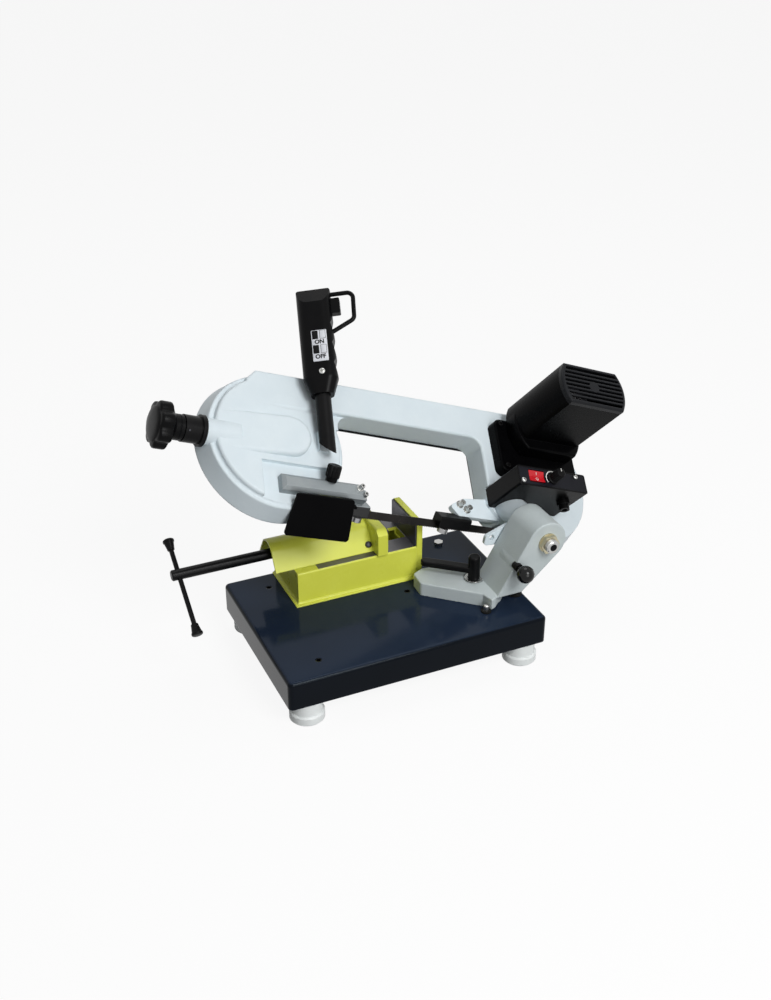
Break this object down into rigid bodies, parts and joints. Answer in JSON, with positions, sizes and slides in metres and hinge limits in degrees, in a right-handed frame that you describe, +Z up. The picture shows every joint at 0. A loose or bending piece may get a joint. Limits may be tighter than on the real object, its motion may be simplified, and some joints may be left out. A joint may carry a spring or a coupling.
{
  "type": "metal cutting band saw",
  "caption": "Bench band saw for metal: white cast bow with blade wheels, geared motor and handle, tilting on a swivel bracket over a sheet tray with a screw vise.",
  "frame": {"origin": "on the floor, at the middle of the four foot bores", "axes": "+X towards the bow's hinge and motor end, +Y away from the operator, +Z up"},
  "size_m": [0.7251, 0.3762, 0.4906],
  "materials": {
    "navy_paint": "gloss",
    "yellow_paint": "gloss",
    "white_paint": "satin",
    "grey_paint": "satin",
    "black_plastic": "matte",
    "black_steel": "satin",
    "bright_steel": "polished",
    "blade_steel": "satin",
    "jaw_iron": "ground",
    "foot_plastic": "matte",
    "red_plastic": "gloss",
    "grey_metal": "satin",
    "bush_bronze": "satin",
    "black_rubber": "matte"
  },
  "bodies": {
    "base": {"base_tray": "navy_paint", "feet": "foot_plastic", "tray_bolt": "bright_steel", "stop_bolts": "bright_steel", "stop_washers": "black_rubber", "vise_bed": "yellow_paint", "fixed_jaw": "yellow_paint", "fixed_jaw_plate": "jaw_iron", "vise_nut": "bush_bronze", "swivel_stud": "bright_steel"},
    "vise_slide": {"moving_jaw": "yellow_paint", "moving_jaw_plate": "jaw_iron", "vise_hood": "yellow_paint"},
    "vise_screw": {"vise_screw": "black_steel"},
    "cross_bar": {"cross_bar": "black_steel"},
    "swivel": {"swivel_bracket": "grey_paint", "hinge_pin": "bright_steel", "hinge_nut": "bright_steel"},
    "lock_lever": {"lock_lever": "black_steel"},
    "pull_pin": {"pull_pin": "black_steel"},
    "bow": {"bow_casting": "white_paint", "back_cover": "black_steel", "hinge_bush": "bush_bronze", "drive_axle": "bright_steel", "tension_sleeve": "black_steel", "blade": "blade_steel", "fixed_guide": "black_steel", "guide_screws": "bright_steel", "gearbox_cover": "black_plastic", "motor_housing": "black_plastic", "motor_grille": "black_plastic", "motor_stator": "jaw_iron", "switch_box": "black_plastic", "switch_panel": "black_plastic", "rocker_cheeks": "black_plastic", "cable_gland": "black_plastic", "handle_rod": "black_steel", "grip": "black_plastic", "trigger_guard": "black_plastic"},
    "drive_wheel": {"drive_wheel": "jaw_iron"},
    "counter_gear": {"counter_gear": "bright_steel"},
    "motor_rotor": {"motor_rotor": "bright_steel"},
    "tension_knob": {"tension_knob": "black_plastic"},
    "tension_carriage": {"tension_carriage": "bright_steel"},
    "tension_wheel": {"tension_wheel": "jaw_iron"},
    "fixed_roller_front": {"fixed_roller_front": "bright_steel"},
    "fixed_roller_back": {"fixed_roller_back": "bright_steel"},
    "guide_arm": {"guide_arm": "grey_metal", "blade_guard": "black_steel"},
    "sliding_roller_front": {"sliding_roller_front": "bright_steel"},
    "sliding_roller_back": {"sliding_roller_back": "bright_steel"},
    "clamp_knob": {"clamp_knob": "black_plastic"},
    "rocker": {"rocker": "red_plastic"},
    "speed_dial": {"speed_dial": "black_plastic"},
    "trigger": {"trigger": "black_plastic"}
  },
  "joints": [
    {"name": "vise_slide", "type": "slide", "parent": "base", "child": "vise_slide", "axis": [1, 0, 0], "range_m": [-0.042, 0.042]},
    {"name": "vise_turn", "type": "hinge", "parent": "vise_slide", "child": "vise_screw", "pos_m": [-0.281, 0.085, 0.1435], "axis": [1, 0, 0], "range_deg": [-5040, 5040]},
    {"name": "bar_slide", "type": "slide", "parent": "vise_screw", "child": "cross_bar", "axis": [0, 0.8192, 0.5736], "range_m": [-0.03, 0.07]},
    {"name": "swivel_turn", "type": "hinge", "parent": "base", "child": "swivel", "pos_m": [0.135, -0.031, 0.0755], "axis": [0, 0, 1], "range_deg": [0, 45]},
    {"name": "lever_turn", "type": "hinge", "parent": "base", "child": "lock_lever", "pos_m": [0.135, -0.031, 0.0965], "axis": [0, 0, 1], "range_deg": [-25, 35]},
    {"name": "pin_pull", "type": "slide", "parent": "swivel", "child": "pull_pin", "axis": [0, -1, 0], "range_m": [0, 0.009], "stiffness_N_per_m": 400},
    {"name": "bow_tilt", "type": "hinge", "parent": "swivel", "child": "bow", "pos_m": [0.222, 0.015, 0.169], "axis": [0, 1, 0], "range_deg": [-18, 5]},
    {"name": "drive_spin", "type": "hinge", "parent": "bow", "child": "drive_wheel", "pos_m": [0.28223, 0.08435, 0.16162], "axis": [0.276, -0.6157, 0.7381], "continuous": true},
    {"name": "counter_spin", "type": "hinge", "parent": "bow", "child": "counter_gear", "pos_m": [0.28786, 0.12061, 0.18976], "axis": [0.276, -0.6157, 0.7381], "continuous": true},
    {"name": "rotor_spin", "type": "hinge", "parent": "bow", "child": "motor_rotor", "pos_m": [0.30683, 0.14345, 0.20172], "axis": [0.276, -0.6157, 0.7381], "continuous": true},
    {"name": "tension_turn", "type": "hinge", "parent": "bow", "child": "tension_knob", "pos_m": [-0.23541, 0.07619, 0.3663], "axis": [-0.9367, 0, 0.3502], "range_deg": [0, 1080]},
    {"name": "tension_slide", "type": "slide", "parent": "bow", "child": "tension_carriage", "axis": [0.9367, 0, -0.3502], "range_m": [0, 0.006]},
    {"name": "tension_spin", "type": "hinge", "parent": "tension_carriage", "child": "tension_wheel", "pos_m": [-0.13322, 0.08435, 0.31695], "axis": [0.276, -0.6157, 0.7381], "continuous": true},
    {"name": "fixed_roller_front_spin", "type": "hinge", "parent": "bow", "child": "fixed_roller_front", "pos_m": [0.10121, 0.00637, 0.17146], "axis": [0.3502, 0, 0.9367], "continuous": true},
    {"name": "fixed_roller_back_spin", "type": "hinge", "parent": "bow", "child": "fixed_roller_back", "pos_m": [0.10121, 0.02363, 0.17146], "axis": [0.3502, 0, 0.9367], "continuous": true},
    {"name": "guide_slide", "type": "slide", "parent": "bow", "child": "guide_arm", "axis": [0.9367, 0, -0.3502], "range_m": [-0.012, 0.04]},
    {"name": "sliding_roller_front_spin", "type": "hinge", "parent": "guide_arm", "child": "sliding_roller_front", "pos_m": [-0.03745, 0.00637, 0.2233], "axis": [0.3502, 0, 0.9367], "continuous": true},
    {"name": "sliding_roller_back_spin", "type": "hinge", "parent": "guide_arm", "child": "sliding_roller_back", "pos_m": [-0.03745, 0.02363, 0.2233], "axis": [0.3502, 0, 0.9367], "continuous": true},
    {"name": "clamp_turn", "type": "hinge", "parent": "guide_arm", "child": "clamp_knob", "pos_m": [-0.07192, 0.01605, 0.28245], "axis": [0.3476, 0.1219, 0.9297], "range_deg": [-180, 90]},
    {"name": "rocker_tilt", "type": "hinge", "parent": "bow", "child": "rocker", "pos_m": [0.24453, -0.00351, 0.2264], "axis": [0.9367, 0, -0.3502], "range_deg": [-10, 10]},
    {"name": "dial_turn", "type": "hinge", "parent": "bow", "child": "speed_dial", "pos_m": [0.27498, -0.00874, 0.22217], "axis": [0.276, -0.6157, 0.7381], "range_deg": [-135, 135]},
    {"name": "trigger_press", "type": "slide", "parent": "bow", "child": "trigger", "axis": [-0.911, 0.3914, -0.13], "range_m": [0, 0.0038], "stiffness_N_per_m": 600}
  ],
  "couplings": [
    {"joint": "vise_slide", "follows": "vise_turn", "m_per_rad": 0.00047746},
    {"joint": "tension_turn", "follows": "tension_slide", "rad_per_m": 3141.6},
    {"joint": "tension_spin", "follows": "drive_spin", "ratio": 1},
    {"joint": "counter_spin", "follows": "drive_spin", "ratio": -6.4},
    {"joint": "rotor_spin", "follows": "drive_spin", "ratio": 39.111}
  ]
}
